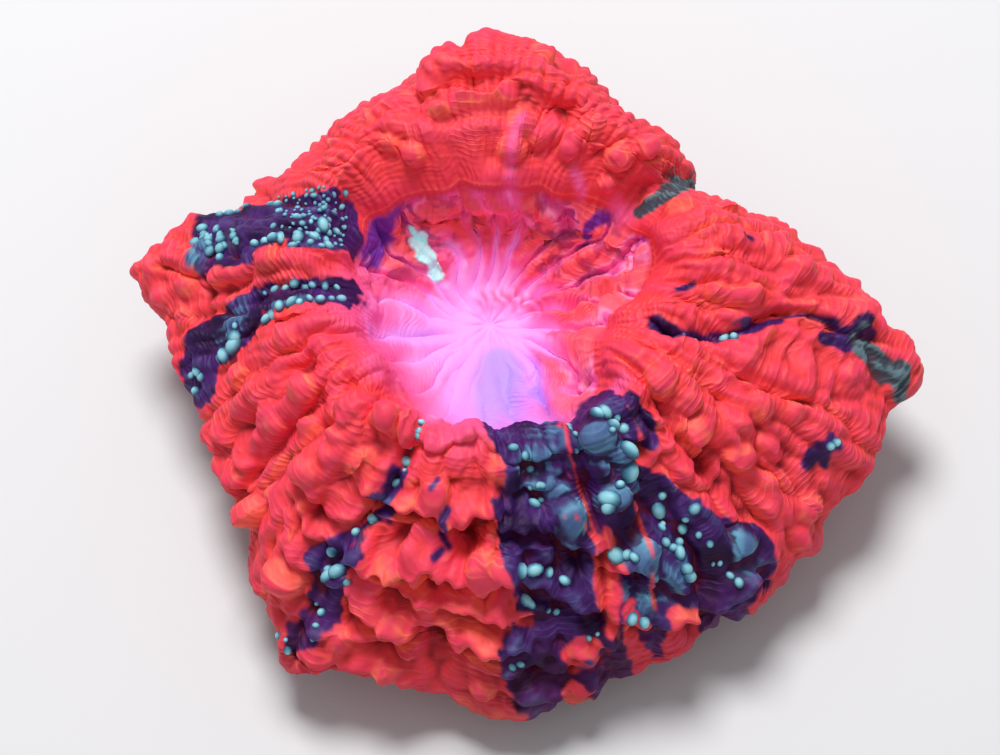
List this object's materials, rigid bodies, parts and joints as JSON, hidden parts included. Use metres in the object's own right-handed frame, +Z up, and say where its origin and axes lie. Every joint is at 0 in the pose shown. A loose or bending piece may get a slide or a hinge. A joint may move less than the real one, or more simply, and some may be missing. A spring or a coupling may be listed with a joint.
{
  "type": "stony coral polyp",
  "caption": "Large single-polyp stony brain coral with lobed, knobbed fleshy folds round a deep oral pit, cut flat at its foot so that it rests on a reef rack or shelf.",
  "frame": {"origin": "middle of the bounding box in plan, on the flat cut under the foot", "axes": "+X to the right, across the longest lobes; +Y to the back, towards the high overhanging fold; +Z up, out of the mouth"},
  "size_m": [0.0804, 0.07, 0.0305],
  "materials": {
    "flesh": "wet, soft, fluorescent orange-red flesh with purple and mint patches and a pink to lilac middle"
  },
  "bodies": {
    "root": {"coral_polyp": "flesh"}
  },
  "joints": []
}
